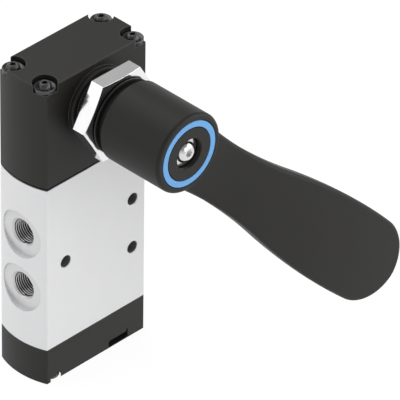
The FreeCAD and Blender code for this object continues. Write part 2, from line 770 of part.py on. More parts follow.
def front_bush():
    inner, outer = "shaft_radius + running_gap", f"{BUSH_BORE} - press_gap"
    return turned_on_lever_axis("front_bush", [
        (inner, f"{NECK_END} - bush_flange_thickness"),
        ("bush_flange_radius", f"{NECK_END} - bush_flange_thickness"),
        ("bush_flange_radius", NECK_END),
        (outer, NECK_END),
        (outer, f"{NECK_END} + front_bush_length"),
        (inner, f"{NECK_END} + front_bush_length"),
    ])


def rear_bush():
    inner, outer = "shaft_radius + running_gap", f"{BUSH_BORE} - press_gap"
    return turned_on_lever_axis("rear_bush", ring_corners(
        inner, outer, f"{CAVITY_FRONT} - rear_bush_length", CAVITY_FRONT))


def shaft_seal():
    """O-ring between the two bushes."""
    ring = doc.addObject("Part::Torus", "shaft_seal")
    ring.Label = "shaft_seal"
    bind(ring, "Radius1", "shaft_radius + bush_wall/2")
    bind(ring, "Radius2", "bush_wall/2 - running_gap")
    middle = f"({NECK_END} + front_bush_length + {CAVITY_FRONT} - rear_bush_length)/2"
    ring.Placement = FreeCAD.Placement(FreeCAD.Vector(0, number(middle), number(AXIS_HEIGHT)),
                                       FreeCAD.Rotation(FreeCAD.Vector(1, 0, 0), 90))
    bind(ring, "Placement.Base.y", middle)
    bind(ring, "Placement.Base.z", AXIS_HEIGHT)
    return ring


def turn_with_lever(body):
    """Turns a piece about the lever axis to the lever's place of rest."""
    turn = FreeCAD.Rotation(FreeCAD.Vector(0, 1, 0), number("rest_angle"))
    body.Placement = FreeCAD.Placement(body.Placement.Base, turn)


def lever_shaft():
    """Shaft with its shoulder, flats for the lever, ring groove and holes at both ends."""
    groove_front = f"({CAVITY_FRONT} + moving_gap)"
    groove_back = f"({groove_front} + ring_thickness + running_gap)"
    body = turned_on_lever_axis("lever_shaft", [
        ("0", STEM_END),
        ("stem_radius", STEM_END),
        ("stem_radius", SHOULDER_FRONT),
        ("shoulder_radius", SHOULDER_FRONT),
        ("shoulder_radius", SHOULDER_REAR),
        ("shaft_radius", SHOULDER_REAR),
        ("shaft_radius", groove_front),
        ("shaft_radius - ring_groove_depth", groove_front),
        ("shaft_radius - ring_groove_depth", groove_back),
        ("shaft_radius", groove_back),
        ("shaft_radius", SHAFT_END),
        ("0", SHAFT_END),
    ])
    turn_with_lever(body)
    flats = new_sketch(body, "XZ_Plane", f"-({STEM_END})")
    for sign in ("", "-"):
        near_edge, far_edge = f"{sign}stem_half_flats", f"{sign}(stem_radius + 1)"
        add_outline(flats, rectangle(near_edge, "-stem_radius - 1", far_edge, "stem_radius + 1"))
    cut(body, "Pocket", flats, f"{SHOULDER_FRONT} - {STEM_END}")
    drill(body, "XZ_Plane", f"-({STEM_END})", [("0", "0", "screw_radius + press_gap")], "lever_screw_length")
    drill(body, "XZ_Plane", f"-({SHAFT_END})", [("0", CRANK_RADIUS, "crank_pin_radius + press_gap")],
          "crank_pin_press", True)
    return body


def crank_pin():
    """Eccentric pin in the end of the shaft. Above the axis and 45 degrees to the right at rest."""
    body = new_body("crank_pin", z=AXIS_HEIGHT)
    turn_with_lever(body)
    sketch = new_sketch(body, "XZ_Plane", f"-({SHAFT_END})")
    add_circle(sketch, "0", CRANK_RADIUS, "crank_pin_radius")
    pad(body, sketch, "crank_pin_press")
    tail = new_sketch(body, "XZ_Plane", f"-({SHAFT_END})")
    add_circle(tail, "0", CRANK_RADIUS, "crank_pin_radius")
    pad(body, tail, "yoke_thickness + 2*moving_gap", True)
    end = number(f"{SHAFT_END} + yoke_thickness + 2*moving_gap")
    soften(body, "Chamfer", "broken_edge", lambda edge: lies_at(edge, "Y", end))
    return body


def retaining_ring():
    """Open ring in the shaft's groove, behind the front wall."""
    front = f"({CAVITY_FRONT} + moving_gap)"
    body = turned_on_lever_axis("retaining_ring", ring_corners(
        "shaft_radius - ring_groove_depth + running_gap", "ring_radius", front, f"{front} + ring_thickness"))
    turn_with_lever(body)
    mouth = new_sketch(body, "XZ_Plane")
    add_outline(mouth, rectangle("-ring_mouth_half", "-ring_radius - 1", "ring_mouth_half", "-1"))
    cut(body, "Pocket", mouth)
    return body


def blade_front(station):
    """Where the front of the blade lies: flush with the hub, then rising, level at the tip."""
    part_way = f"(({station} - {BEND_START})/(lever_length - {BEND_START}))"
    return f"({HUB_FRONT} - blade_rise*(2*{part_way} - {part_way}^2))"


def blade_section(body, station, front, thickness):
    """A wide section with a crowned front and back, square to the lever."""
    sketch = new_sketch(body, "YZ_Plane", station)
    crown = "(blade_half_stock^2 + blade_crown^2)/(2*blade_crown)"
    back = f"{front} + {thickness}"
    add_outline(sketch, [
        (f"{front} + blade_crown", "-blade_half_stock"),
        (f"{back} - blade_crown", "-blade_half_stock", crown),
        (f"{back} - blade_crown", "blade_half_stock"),
        (f"{front} + blade_crown", "blade_half_stock", crown),
    ])
    return sketch


def blade_outline(sketch):
    """The paddle seen from the front: flare, waist, widening, shoulder and nose, on both sides."""
    rise = "(paddle_half_width - waist_half_width)"
    paddle_at = "(lever_length - paddle_to_tip)"
    run = f"({paddle_at} - waist_at)"
    both = f"(({run}^2 + {rise}^2)/(2*{rise}))"
    share = f"(waist_radius/{both})"
    paddle_radius = f"({both} - waist_radius)"
    inflection = (f"waist_at + {run}*{share}", f"waist_half_width + {rise}*{share}")
    root = ("blade_root", "waist_half_width + (waist_at - blade_root)^2/(2*root_flare_radius)")
    waist = ("waist_at", "waist_half_width")
    flare_rise = f"({root[1]} - waist_half_width)"
    flare = f"(((waist_at - blade_root)^2 + {flare_rise}^2)/(2*{flare_rise}))"
    shoulder_drop = f"({paddle_radius} - sqrt({paddle_radius}^2 - paddle_shoulder^2))"
    shoulder = (f"{paddle_at} + paddle_shoulder", f"paddle_half_width - {shoulder_drop}")
    lean = f"(paddle_shoulder/{paddle_radius})"
    tip_centre = (f"({shoulder[0]} - tip_radius*{lean})",
                  f"({shoulder[1]} - tip_radius*sqrt(1 - {lean}^2))")
    nose_run = f"sqrt((tip_radius - nose_radius)^2 - {tip_centre[1]}^2)"
    nose_centre = f"({tip_centre[0]} + {nose_run})"
    reach = "(nose_radius/(tip_radius - nose_radius))"
    nose = (f"{nose_centre} + {nose_run}*{reach}", f"-{tip_centre[1]}*{reach}")
    upper = [(nose, "tip_radius"), (shoulder, paddle_radius), (inflection, "-waist_radius"),
             (waist, f"-{flare}"), (root, None)]
    lower = [(root, f"-{flare}"), (waist, "-waist_radius"), (inflection, paddle_radius),
             (shoulder, "tip_radius"), (nose, "nose_radius")]
    corners = []
    for (along, across), radius in lower:
        corners.append((along, f"-({across})", radius))
    for (along, across), radius in upper:
        corners.append((along, across, radius) if radius else (along, across))
    add_outline(sketch, corners)


def lever():
    """Hub and blade in one moulding."""
    body = new_body("lever", z=AXIS_HEIGHT)
    turn_with_lever(body)
    bent = f"(lever_length - {BEND_START})"
    stations = [
        ("blade_root", HUB_FRONT, "root_thickness"),
        (f"{BEND_START}*0.8", HUB_FRONT, "root_thickness"),
        (f"{BEND_START} + {bent}*0.15", None, "waist_thickness"),
        (f"{BEND_START} + {bent}*0.35", None, "(waist_thickness + paddle_thickness)/2"),
        (f"{BEND_START} + {bent}*0.55", None, "paddle_thickness"),
        (f"{BEND_START} + {bent}*0.8", None, "(paddle_thickness + tip_thickness)/2"),
        ("lever_length + 2", None, "tip_thickness"),
    ]
    sections = [blade_section(body, station, front or blade_front(f"({station})"), thickness)
                for station, front, thickness in stations]
    doc.recompute()
    stock = body.newObject("PartDesign::AdditiveLoft", "BladeStock")
    stock.Profile = sections[0]
    stock.Sections = sections[1:]
    doc.recompute()
    keep = new_sketch(body, "XZ_Plane")
    blade_outline(keep)
    margin = "(blade_half_stock + 2)"
    add_outline(keep, rectangle("blade_root - 3", f"-{margin}", "lever_length + 5", margin))
    cut(body, "Pocket", keep)
    root = number("blade_root")
    soften(body, "Fillet", "blade_edge_round", lambda edge: edge.BoundBox.XMax > root + 0.01 and is_rim(edge))
    hub_profile = new_sketch(body, "XY_Plane")
    add_outline(hub_profile, hub_corners())
    revolve(body, hub_profile)
    hollow = new_sketch(body, "XY_Plane")
    add_outline(hollow, ring_corners(f"{MARKING_INNER} - marking_gap", f"{MARKING_OUTER} + marking_gap",
                                     f"{HUB_FRONT} - 1", f"{HUB_FRONT} + marking_depth"))
    add_outline(hollow, ring_corners("0", "screw_well_radius", f"{HUB_FRONT} - 1", WELL_FLOOR))
    add_outline(hollow, ring_corners("0", "bush_flange_radius + hub_recess_gap",
                                     SHOULDER_FRONT, f"{HUB_REAR} + 1"))
    cut(body, "Groove", hollow)
    socket = new_sketch(body, "XZ_Plane", f"-({SHOULDER_FRONT})")
    width = "(stem_half_flats + running_gap)"
    radius = "(stem_radius + running_gap)"
    height = f"sqrt({radius}^2 - {width}^2)"
    add_outline(socket, [(f"-{width}", f"-{height}", radius), (width, f"-{height}"),
                         (width, height, radius), (f"-{width}", height)])
    cut(body, "Pocket", socket, f"{SHOULDER_FRONT} - {WELL_FLOOR} - hub_web", True)
    drill(body, "XZ_Plane", f"-({WELL_FLOOR})", [("0", "0", "screw_radius + screw_clearance")], "hub_web")
    return body


def is_rim(edge):
    """Whether an edge runs along the rim of the blade rather than through its thickness."""
    return edge.BoundBox.XLength > edge.BoundBox.YLength


def hub_corners():
    """Half section of the hub: round front edge, chamfered rear edge and a narrower rim behind it."""
    return [
        ("0", HUB_FRONT),
        ("hub_radius - hub_front_round", HUB_FRONT, f"hub_front_round*{ROUND_END}"),
        ("hub_radius", f"{HUB_FRONT} + hub_front_round"),
        ("hub_radius", f"{HUB_REAR} - rim_length - hub_rear_chamfer"),
        ("hub_radius - hub_rear_chamfer", f"{HUB_REAR} - rim_length"),
        (RIM_RADIUS, f"{HUB_REAR} - rim_length"),
        (RIM_RADIUS, HUB_REAR),
        ("0", HUB_REAR),
    ]


def marking_ring():
    return turned_on_lever_axis("marking_ring", ring_corners(MARKING_INNER, MARKING_OUTER, HUB_FRONT,
                                                             f"{HUB_FRONT} + marking_depth"))


def lever_washer():
    rim = "screw_well_radius - washer_gap"
    return turned_on_lever_axis("lever_washer", ring_corners("screw_radius + screw_clearance", rim,
                                                             f"{WELL_FLOOR} - washer_thickness", WELL_FLOOR))


def lever_screw():
    """Button head screw with a hexagon socket."""
    seat = f"({WELL_FLOOR} - washer_thickness)"
    top = f"({seat} - lever_screw_head_height)"
    half = "lever_screw_head_radius*0.6"
    dome = "lever_screw_head_radius*1.15"
    body = turned_on_lever_axis("lever_screw", [
        ("0", top),
        (half, top, dome),
        ("lever_screw_head_radius", f"{seat} - 0.3"),
        ("lever_screw_head_radius", seat),
        ("screw_radius", seat),
        ("screw_radius", f"{seat} + lever_screw_length"),
        ("0", f"{seat} + lever_screw_length"),
    ])
    socket = new_sketch(body, "XZ_Plane", f"-{top}")
    reach = "hex_half_flats/cos(30)"
    add_outline(socket, [(f"{reach}*cos({60 * step})", f"{reach}*sin({60 * step})") for step in range(6)])
    cut(body, "Pocket", socket, "hex_depth")
    return body


pieces = [make() for make in (
    valve_body, head_housing, bottom_cap, head_screws, cap_screws, upper_guide, lower_guide, spool_seals,
    seal_spacers, spool, yoke, spring_seat, return_spring, panel_nut, front_bush, rear_bush, shaft_seal,
    lever_shaft, crank_pin, retaining_ring, lever, marking_ring, lever_washer, lever_screw)]
doc.recompute()

for item in doc.Objects:
    if "Invalid" in item.State or "Error" in item.State:
        raise RuntimeError(f"{item.Label} did not build: {item.State}")
for piece in pieces:
    shape = piece.Shape
    if shape.isNull() or not shape.isValid():
        raise RuntimeError(f"{piece.Label} has no sound shape")

os.makedirs("parts", exist_ok=True)
for piece in pieces:
    piece.Shape.exportStep(f"parts/{piece.Label}.step")
    print(f"{piece.Label}: {len(piece.Shape.Solids)} solid(s), {piece.Shape.Volume:.1f} mm3")
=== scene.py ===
# %% [markdown]
# # Dressing a hand lever air valve
#
# The solids of this valve come from the CAD model: an aluminium body, a moulded head with a
# threaded neck for a panel, a hexagon nut, and a lever whose hub turns on a short shaft. They
# are loaded as a fixed frame. This file adds what only shows up close: threads, soft edges,
# the grain of each surface, the light and the camera. It also shows the housings with their
# flat right side. The box of the solids is kept at the start, because nothing that is added
# may make the valve larger.

import json
import math

import bpy
from mathutils import Matrix, Vector


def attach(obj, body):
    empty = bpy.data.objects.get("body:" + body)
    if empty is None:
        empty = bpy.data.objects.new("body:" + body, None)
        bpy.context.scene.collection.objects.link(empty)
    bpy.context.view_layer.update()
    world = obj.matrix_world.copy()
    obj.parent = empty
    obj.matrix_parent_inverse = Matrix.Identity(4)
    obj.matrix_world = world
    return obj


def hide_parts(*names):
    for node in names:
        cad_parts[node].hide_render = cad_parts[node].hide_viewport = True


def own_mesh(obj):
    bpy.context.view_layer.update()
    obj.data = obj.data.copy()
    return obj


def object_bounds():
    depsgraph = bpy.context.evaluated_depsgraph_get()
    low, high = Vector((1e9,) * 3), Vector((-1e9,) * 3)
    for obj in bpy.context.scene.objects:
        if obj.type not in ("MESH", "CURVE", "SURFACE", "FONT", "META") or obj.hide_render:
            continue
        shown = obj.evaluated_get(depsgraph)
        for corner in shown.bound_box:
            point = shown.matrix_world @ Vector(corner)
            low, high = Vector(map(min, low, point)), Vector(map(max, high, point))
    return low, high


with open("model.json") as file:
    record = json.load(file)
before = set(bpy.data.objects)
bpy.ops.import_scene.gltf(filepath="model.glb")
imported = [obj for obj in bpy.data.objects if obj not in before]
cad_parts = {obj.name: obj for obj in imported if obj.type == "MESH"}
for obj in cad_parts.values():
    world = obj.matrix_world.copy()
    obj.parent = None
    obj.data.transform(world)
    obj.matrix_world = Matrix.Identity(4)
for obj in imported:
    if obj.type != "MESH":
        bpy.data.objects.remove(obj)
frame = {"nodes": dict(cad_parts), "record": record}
nodes = frame["nodes"]
scene = bpy.context.scene
cad_box = [list(corner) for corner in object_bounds()]
print("solids:", len(nodes), "box:", [[round(value, 4) for value in corner] for corner in cad_box])

MM = 0.001


def deselect_all():
    """Nothing is selected, so that the next operator works on new geometry only."""
    bpy.ops.object.select_all(action="DESELECT")


# %% [markdown]
# ## The camera
#
# A product picture is taken from far away with a long lens, so that upright edges stay nearly
# parallel. The camera could be aimed with a constraint, but then other views would have to
# undo it. Here it gets a plain place and turn: a distance, two angles and a slight roll.

# %% Camera
VIEW_AZIMUTH = math.radians(-45.731)
VIEW_ELEVATION = math.radians(35.568)
VIEW_ROLL = math.radians(0.817)
VIEW_DISTANCE = 2.276
VIEW_TARGET = Vector((0.03806, -0.03378, 0.00513))
VIEW_END = 20.0
LENS_MM = 604.87

back = Vector((math.sin(VIEW_AZIMUTH) * math.cos(VIEW_ELEVATION),
               -math.cos(VIEW_AZIMUTH) * math.cos(VIEW_ELEVATION),
               math.sin(VIEW_ELEVATION)))
level = Vector((math.cos(VIEW_AZIMUTH), math.sin(VIEW_AZIMUTH), 0.0))
upright = back.cross(level)
right = level * math.cos(VIEW_ROLL) + upright * math.sin(VIEW_ROLL)
up = upright * math.cos(VIEW_ROLL) - level * math.sin(VIEW_ROLL)

camera = bpy.data.objects.new("camera", bpy.data.cameras.new("camera"))
scene.collection.objects.link(camera)
camera.data.lens = LENS_MM
camera.data.clip_end = VIEW_END
camera.matrix_world = Matrix.Translation(VIEW_TARGET + back * VIEW_DISTANCE) @ Matrix(
    (right, up, back)).transposed().to_4x4()
scene.camera = camera
print("camera at", [round(value, 3) for value in camera.location])

# %% [markdown]
# ## Light
#
# The picture is lit by large soft panels round the valve. Small lamps would draw hard shadows
# and spots on the nut, so each lamp here is a wide area. The world adds an even fill on top.
# Metal needs something to mirror, or it looks flat, so glossy rays see a light cove near the
# horizon and a greyer ceiling above it. The camera sees plain white behind the valve.

# %% Lamps
scene.view_settings.view_transform = "Standard"

PANEL_DISTANCE = 1.0
PANEL_SIZE = 0.7
PANELS = {
    "panel_high_rear_left": ((-0.6, 0.55, 0.6), 1.3),
    "panel_high_rear": ((0.1, 0.7, 0.7), 3.2),
    "panel_left_rear": ((-0.85, 0.45, 0.28), 0.5),
    "panel_front": ((0.15, -1.0, 0.35), 1.9),
    "panel_front_right": ((0.75, -0.70, 0.35), 3.6),
    "panel_right_rear": ((0.75, 0.65, 0.45), 0.3),
    "panel_top": ((0.0, 0.05, 1.0), 1.6),
}


def area_lamp(name, direction, power):
    """A soft panel that faces the valve from the given direction."""
    lamp = bpy.data.lights.new(name, "AREA")
    lamp.shape = "SQUARE"
    lamp.size, lamp.energy = PANEL_SIZE, power
    holder = bpy.data.objects.new(name, lamp)
    scene.collection.objects.link(holder)
    toward = Vector(direction).normalized()
    holder.location = toward * PANEL_DISTANCE
    holder.rotation_mode = "QUATERNION"
    holder.rotation_quaternion = toward.to_track_quat("Z", "Y")


for panel, (direction, power) in PANELS.items():
    area_lamp(panel, direction, power)
print("panels:", len(PANELS))

# %% Shader helper


def shader_choice(tree, share, first, second):
    """The second shader where the share is one, and the first where it is zero."""
    mix = tree.nodes.new("ShaderNodeMixShader")
    for socket, source in zip(mix.inputs, (share, first, second)):
        tree.links.new(source, socket)
    return mix.outputs["Shader"]


# %% World
WHITE = (1.0, 1.0, 1.0)
FILL_COLOUR = (0.98, 0.99, 1.0)
FILL_STRENGTH = 0.66
COVE_STRENGTH = 0.75
CEILING_STRENGTH = 0.3
CEILING_FROM, CEILING_TO = 0.15, 0.55
BACKGROUND_STRENGTH = 1.0

world = bpy.data.worlds.new("studio")
scene.world = world
world.use_nodes = True
sky = world.node_tree
sky.nodes.clear()


def sky_light(colour, strength):
    """One even light of the world."""
    light = sky.nodes.new("ShaderNodeBackground")
    light.inputs["Color"].default_value = (*colour, 1.0)
    light.inputs["Strength"].default_value = strength
    return light.outputs["Background"]


heading = sky.nodes.new("ShaderNodeSeparateXYZ")
sky.links.new(sky.nodes.new("ShaderNodeTexCoord").outputs["Generated"], heading.inputs["Vector"])
ceiling = sky.nodes.new("ShaderNodeMapRange")
ceiling.interpolation_type = "SMOOTHSTEP"
sky.links.new(heading.outputs["Z"], ceiling.inputs["Value"])
ceiling.inputs["From Min"].default_value = CEILING_FROM
ceiling.inputs["From Max"].default_value = CEILING_TO
cove = shader_choice(sky, ceiling.outputs["Result"], sky_light(WHITE, COVE_STRENGTH),
                     sky_light(WHITE, CEILING_STRENGTH))
rays = sky.nodes.new("ShaderNodeLightPath")
shown = sky_light(FILL_COLOUR, FILL_STRENGTH)
for mirrored in ("Is Glossy Ray", "Is Transmission Ray"):
    shown = shader_choice(sky, rays.outputs[mirrored], shown, cove)
shown = shader_choice(sky, rays.outputs["Is Camera Ray"], shown, sky_light(WHITE, BACKGROUND_STRENGTH))
sky.links.new(shown, sky.nodes.new("ShaderNodeOutputWorld").inputs["Surface"])
print("world:", world.name)

# %% [markdown]
# ## Floor
#
# A white sheet lies under the valve and catches its shadow. Light on it could be raised until
# it turns white, but that would also bleach the aluminium. Instead the sheet glows for rays
# that come from the camera, a mirror or glass, and keeps a share of its real shading, so that
# the shadow stays.

# %% Value helper


def math_node(tree, operation, first, second, clamp=False):
    """One operation on two values, where each is a socket or a number."""
    node = tree.nodes.new("ShaderNodeMath")
    node.operation = operation
    node.use_clamp = clamp
    for place, value in enumerate((first, second)):
        if isinstance(value, (int, float)):
            node.inputs[place].default_value = value
        else:
            tree.links.new(value, node.inputs[place])
    return node.outputs["Value"]


# %% Floor
FLOOR_SIZE = 6.0
FLOOR_COLOUR = (0.8, 0.8, 0.8)
FLOOR_GLOW = 1.04
GLOW_SHARE = 0.9

deselect_all()
bpy.ops.mesh.primitive_plane_add(size=FLOOR_SIZE, location=(0, 0, cad_box[0][2]))
floor = bpy.context.object
floor.name = "floor"

floor_look = bpy.data.materials.new("white_floor")
floor_look.use_nodes = True
tree = floor_look.node_tree
tree.nodes.clear()
paper = tree.nodes.new("ShaderNodeBsdfDiffuse")
paper.inputs["Color"].default_value = (*FLOOR_COLOUR, 1.0)
glow = tree.nodes.new("ShaderNodeEmission")
glow.inputs["Strength"].default_value = FLOOR_GLOW
rays = tree.nodes.new("ShaderNodeLightPath")
mirrors = math_node(tree, "MAXIMUM", rays.outputs["Is Glossy Ray"], rays.outputs["Is Transmission Ray"])
seen = math_node(tree, "MAXIMUM", rays.outputs["Is Camera Ray"], mirrors)
share = math_node(tree, "MULTIPLY", seen, GLOW_SHARE)
sheet = shader_choice(tree, share, paper.outputs["BSDF"], glow.outputs["Emission"])
tree.links.new(sheet, tree.nodes.new("ShaderNodeOutputMaterial").inputs["Surface"])
floor.data.materials.append(floor_look)
print("floor at", round(cad_box[0][2] / MM, 2), "mm")

# %% [markdown]
# ## Shared surface effects
#
# Every finish needs a fine grain and the soft rim that moulded and cut edges show: a rounded
# normal, and a painted highlight that lightens the edges, most where they face up. Some need
# more: lines that run one way, a painted shade inside the bores, or a painted shade that
# deepens from the crest to the root of a thread. Each effect is a node group, built once,
# which puts out values and normals only, and each finish sets its own sizes on it.

# %% Group helpers
FLOAT, VECTOR = "NodeSocketFloat", "NodeSocketVector"


def new_group(name, inputs, outputs):
    """A shader node group with the named sockets, and its input and output nodes."""
    group = bpy.data.node_groups.new(name, "ShaderNodeTree")
    for title, kind, value in inputs:
        group.interface.new_socket(title, in_out="INPUT", socket_type=kind).default_value = value
    for title, kind in outputs:
        group.interface.new_socket(title, in_out="OUTPUT", socket_type=kind)
    return group, group.nodes.new("NodeGroupInput"), group.nodes.new("NodeGroupOutput")


def object_place(tree):
    """The shaded point in the object's own coordinates."""
    return tree.nodes.new("ShaderNodeTexCoord").outputs["Object"]


def vector_node(tree, operation, first, second):
    """One operation on two vectors."""
    node = tree.nodes.new("ShaderNodeVectorMath")
    node.operation = operation
    tree.links.new(first, node.inputs[0])
    tree.links.new(second, node.inputs[1])
    return node


def split_vector(tree, vector):
    """The X, Y and Z of a vector, as a node with these three outputs."""
    node = tree.nodes.new("ShaderNodeSeparateXYZ")
    tree.links.new(vector, node.inputs["Vector"])
    return node


def noise_node(tree, vector, scale, detail, roughness=0.55):
    """A noise from 0 to 1, with its scale from a socket."""
    node = tree.nodes.new("ShaderNodeTexNoise")
    tree.links.new(vector, node.inputs["Vector"])
    tree.links.new(scale, node.inputs["Scale"])
    node.inputs["Detail"].default_value = detail
    node.inputs["Roughness"].default_value = roughness
    return node.outputs["Fac"]


# %% Grain group
grain, given, made = new_group(
    "fine_grain", [("Grains per metre", FLOAT, 2500.0), ("Clouds per metre", FLOAT, 60.0)],
    [("Height", FLOAT), ("Clouds", FLOAT)])
place = object_place(grain)
fine = noise_node(grain, place, given.outputs["Grains per metre"], detail=4.0, roughness=0.6)
wide = noise_node(grain, place, given.outputs["Clouds per metre"], detail=2.0)
grain.links.new(fine, made.inputs["Height"])
grain.links.new(wide, made.inputs["Clouds"])
print("group:", grain.name)

# %% Drawn line group
STREAKS_PER_LINE = 0.2

lines, given, made = new_group(
    "drawn_lines", [("Lines per metre", FLOAT, 3000.0), ("Stretch", VECTOR, (1.0, 1.0, 0.01))],
    [("Height", FLOAT), ("Streaks", FLOAT)])
stretched = vector_node(lines, "MULTIPLY", object_place(lines), given.outputs["Stretch"]).outputs["Vector"]
fine = noise_node(lines, stretched, given.outputs["Lines per metre"], detail=3.0, roughness=0.7)
coarse = math_node(lines, "MULTIPLY", given.outputs["Lines per metre"], STREAKS_PER_LINE)
wide = noise_node(lines, stretched, coarse, detail=2.0)
lines.links.new(fine, made.inputs["Height"])
lines.links.new(wide, made.inputs["Streaks"])
print("group:", lines.name)

# %% Interior group
inside, given, made = new_group(
    "inside_block", [("Middle", VECTOR, (0.0, 0.0, 0.0)), ("Reach", VECTOR, (0.01, 0.01, 0.01))],
    [("Inside", FLOAT)])
offset = vector_node(inside, "SUBTRACT", object_place(inside), given.outputs["Middle"])
away = split_vector(inside, offset.outputs["Vector"])
reach = split_vector(inside, given.outputs["Reach"])
within = 1.0
for axis in "XYZ":
    far = math_node(inside, "ABSOLUTE", away.outputs[axis], 0.0)
    near = math_node(inside, "LESS_THAN", far, reach.outputs[axis])
    within = math_node(inside, "MULTIPLY", near, within)
inside.links.new(within, made.inputs["Inside"])
print("group:", inside.name)

# %% Thread depth group
BODY_DEPTH = 22.3 * MM
MIDDLE_Y = -BODY_DEPTH / 2
PORT_STEP = 11.0 * MM

# Painted shade: Depth runs from 0 at the crest radius to 1 at the root radius round each port axis, and the
# thread finish darkens towards the root with it.
depths, given, made = new_group(
    "thread_depth", [("Crest radius", FLOAT, 0.004), ("Root radius", FLOAT, 0.005)], [("Depth", FLOAT)])
place = split_vector(depths, object_place(depths))
beside = math_node(depths, "ADD", place.outputs["Y"], -MIDDLE_Y)
around = depths.nodes.new("ShaderNodeMath")
around.operation = "WRAP"
depths.links.new(place.outputs["Z"], around.inputs[0])
around.inputs[1].default_value, around.inputs[2].default_value = PORT_STEP / 2, -PORT_STEP / 2
squares = [math_node(depths, "POWER", math_node(depths, "ABSOLUTE", distance, 0.0), 2.0)
           for distance in (beside, around.outputs["Value"])]
radius = math_node(depths, "SQRT", math_node(depths, "ADD", *squares), 0.0)
span = depths.nodes.new("ShaderNodeMapRange")
depths.links.new(radius, span.inputs["Value"])
depths.links.new(given.outputs["Crest radius"], span.inputs["From Min"])
depths.links.new(given.outputs["Root radius"], span.inputs["From Max"])
depths.links.new(span.outputs["Result"], made.inputs["Depth"])
print("group:", depths.name)

# %% Soft edge group
BEVEL_SAMPLES = 6
EDGE_GAIN = 8.0
SLOPE_GAIN, LEVEL_SHARE = 2.0, 0.6

# Painted highlight: the Edge output marks the edges where the rounded normal turns away from the face. It
# is weighted up where that normal faces up and down where it faces down, and finishes mix a lighter edge
# colour into it. The Normal output is the real rounding.
edges, given, made = new_group(
    "soft_edges", [("Radius", FLOAT, 0.0003)], [("Normal", VECTOR), ("Edge", FLOAT)])
round_off = edges.nodes.new("ShaderNodeBevel")
round_off.samples = BEVEL_SAMPLES
edges.links.new(given.outputs["Radius"], round_off.inputs["Radius"])
rounded = round_off.outputs["Normal"]
face = edges.nodes.new("ShaderNodeNewGeometry")
agree = vector_node(edges, "DOT_PRODUCT", rounded, face.outputs["Normal"])
turned = math_node(edges, "SUBTRACT", 1.0, agree.outputs["Value"])
rim = math_node(edges, "MULTIPLY", turned, EDGE_GAIN, clamp=True)
# Painted highlight: edges that face up get more of the lighter edge colour.
slope = math_node(edges, "MULTIPLY", split_vector(edges, rounded).outputs["Z"], SLOPE_GAIN)
lit = math_node(edges, "ADD", slope, LEVEL_SHARE, clamp=True)
edges.links.new(math_node(edges, "MULTIPLY", rim, lit), made.inputs["Edge"])
edges.links.new(rounded, made.inputs["Normal"])
print("group:", edges.name)

# %% [markdown]
# ## Finishes
#
# One function builds a finish from a short description: base colours, how rough and how
# metallic it is, which pattern it has and how soft its edges are. A separate node tree for
# each finish would say the same things many times. The patterns only touch colour, roughness
# and normal, so every finish also works in another program after it is baked.

# %% Material helpers


def group_node(tree, group, **values):
    """A node group placed in a material, with its inputs set."""
    node = tree.nodes.new("ShaderNodeGroup")
    node.node_tree = group
    for title, value in values.items():
        node.inputs[title.replace("_", " ")].default_value = value
    return node


def colour_mix(tree, share, first, second):
    """A colour between two others; each is a socket or three numbers."""
    mix = tree.nodes.new("ShaderNodeMix")
    mix.data_type = "RGBA"
    tree.links.new(share, mix.inputs["Factor"])
    for title, value in (("A", first), ("B", second)):
        socket = [entry for entry in mix.inputs if entry.name == title and entry.type == "RGBA"][0]
        if isinstance(value, tuple):
            socket.default_value = (*value, 1.0)
        else:
            tree.links.new(value, socket)
    return [entry for entry in mix.outputs if entry.type == "RGBA"][0]


def value_mix(tree, share, first, second):
    """A value between a socket and a number."""
    mix = tree.nodes.new("ShaderNodeMix")
    tree.links.new(share, mix.inputs["Factor"])
    tree.links.new(first, mix.inputs["A"])
    mix.inputs["B"].default_value = second
    return mix.outputs["Result"]


def tone_between(tree, value, low, high):
    """A value from 0 to 1 spread between two others."""
    node = tree.nodes.new("ShaderNodeMapRange")
    tree.links.new(value, node.inputs["Value"])
    node.inputs["To Min"].default_value = low
    node.inputs["To Max"].default_value = high
    return node.outputs["Result"]


# %% Finish builder
BUMP_HEIGHT = 0.00002

finishes = {}


